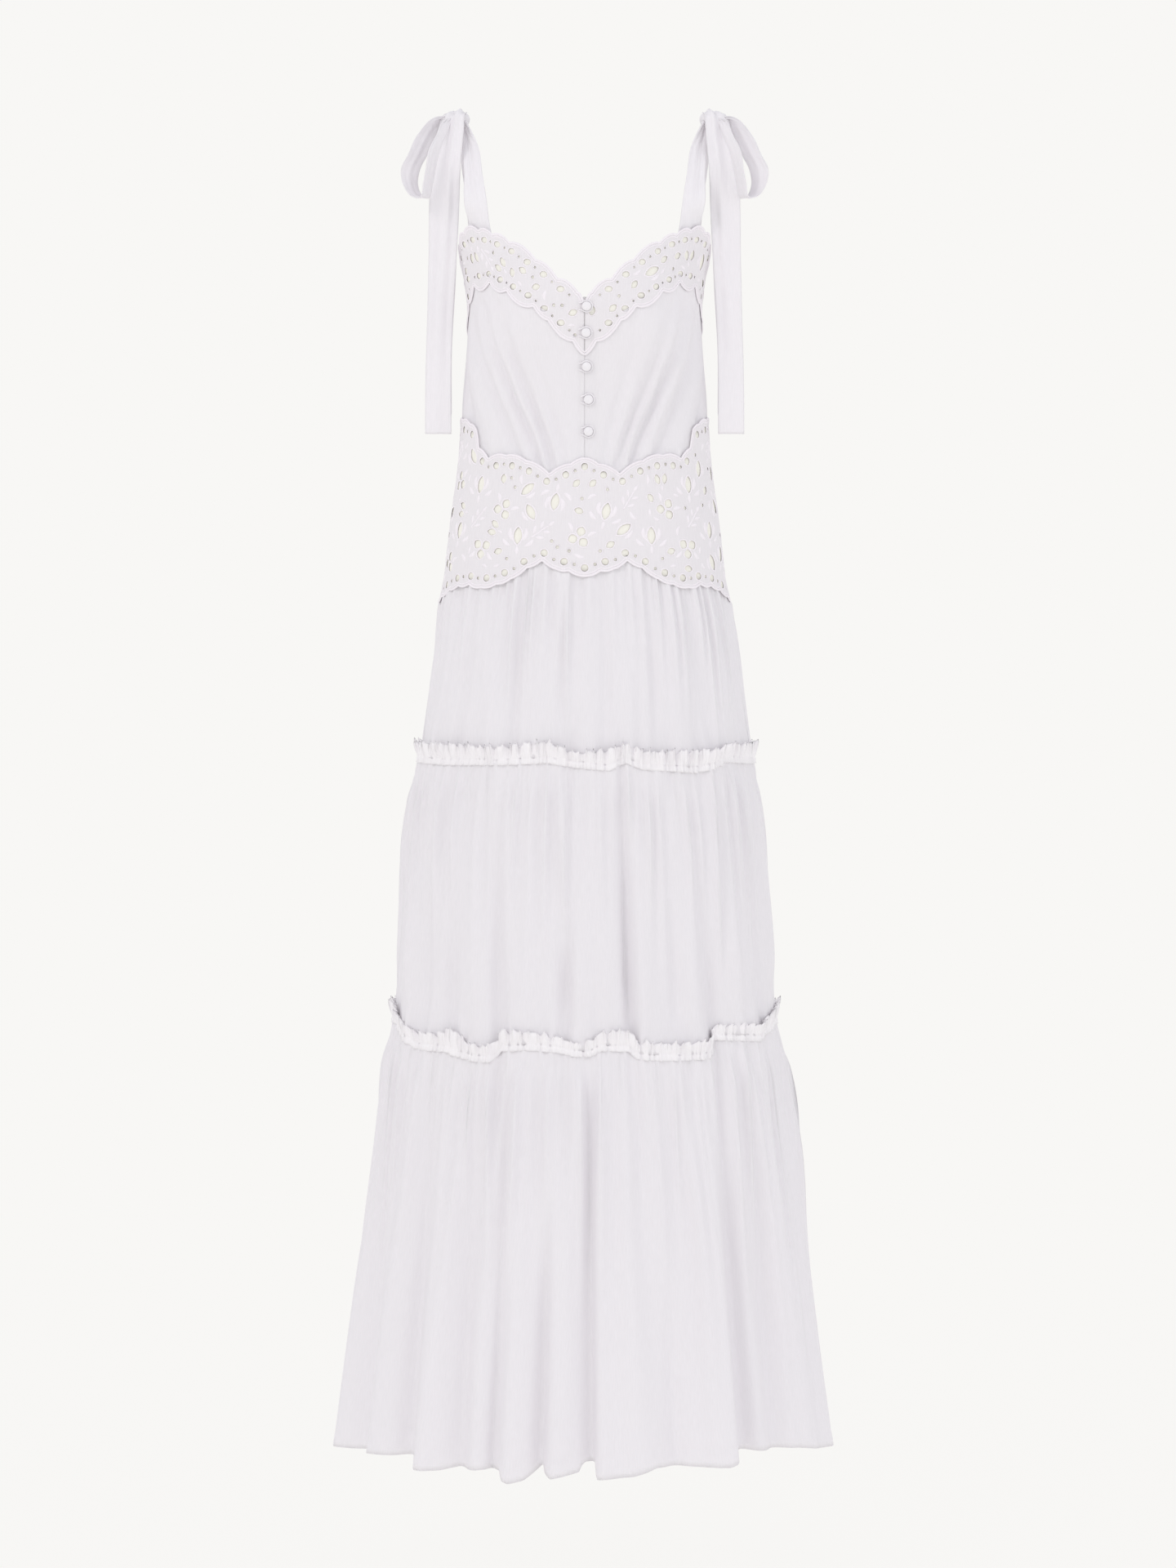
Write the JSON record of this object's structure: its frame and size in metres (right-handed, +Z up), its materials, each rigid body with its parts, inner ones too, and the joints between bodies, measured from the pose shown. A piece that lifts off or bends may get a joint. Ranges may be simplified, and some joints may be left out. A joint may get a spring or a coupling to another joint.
{
  "type": "maxi dress",
  "caption": "Full-length tiered summer dress, filled out as worn: tie shoulders, scalloped eyelet neck band and waist panel, buttoned front, frilled tier seams.",
  "frame": {"origin": "midway between the two shoulder knots, on the line that lies on the wearer's shoulders", "axes": "+Z up; the front of the dress faces -Y; +X is the wearer's left"},
  "size_m": [0.554, 0.4477, 1.4661],
  "materials": {
    "voile": "matte fine plain-weave cotton, slightly sheer",
    "eyelet": "matte cotton with raised satin-stitch embroidery and cut eyelets",
    "facing": "matte ivory cotton",
    "frill": "matte fine cotton, gathered",
    "tie": "matte fine cotton, folded double",
    "button": "matte cotton stretched over a button form"
  },
  "bodies": {
    "root": {"bodice_front_left": "voile", "bodice_front_right": "voile", "bodice_back": "voile", "neck_band_front_left": "eyelet", "neck_band_front_right": "eyelet", "neck_band_back": "eyelet", "neck_facing_front_left": "facing", "neck_facing_front_right": "facing", "neck_facing_back": "facing", "waist_panel_front": "eyelet", "waist_panel_back": "eyelet", "waist_backing_front": "facing", "waist_backing_back": "facing", "skirt_tier_1_front": "voile", "skirt_tier_1_back": "voile", "skirt_tier_2_front": "voile", "skirt_tier_2_back": "voile", "skirt_tier_3_front": "voile", "skirt_tier_3_back": "voile", "frill_1_front": "frill", "frill_1_back": "frill", "frill_2_front": "frill", "frill_2_back": "frill", "front_strap_left": "tie", "back_strap_left": "tie", "front_tail_left": "tie", "back_tail_left": "tie", "front_loop_left": "tie", "back_loop_left": "tie", "knot_left": "tie", "front_strap_right": "tie", "back_strap_right": "tie", "front_tail_right": "tie", "back_tail_right": "tie", "front_loop_right": "tie", "back_loop_right": "tie", "knot_right": "tie", "button_stand": "facing", "button_1": "button", "button_2": "button", "button_3": "button", "button_4": "button", "button_5": "button", "button_loop_1": "button", "button_loop_2": "button", "button_loop_3": "button", "button_loop_4": "button", "button_loop_5": "button"}
  },
  "joints": []
}
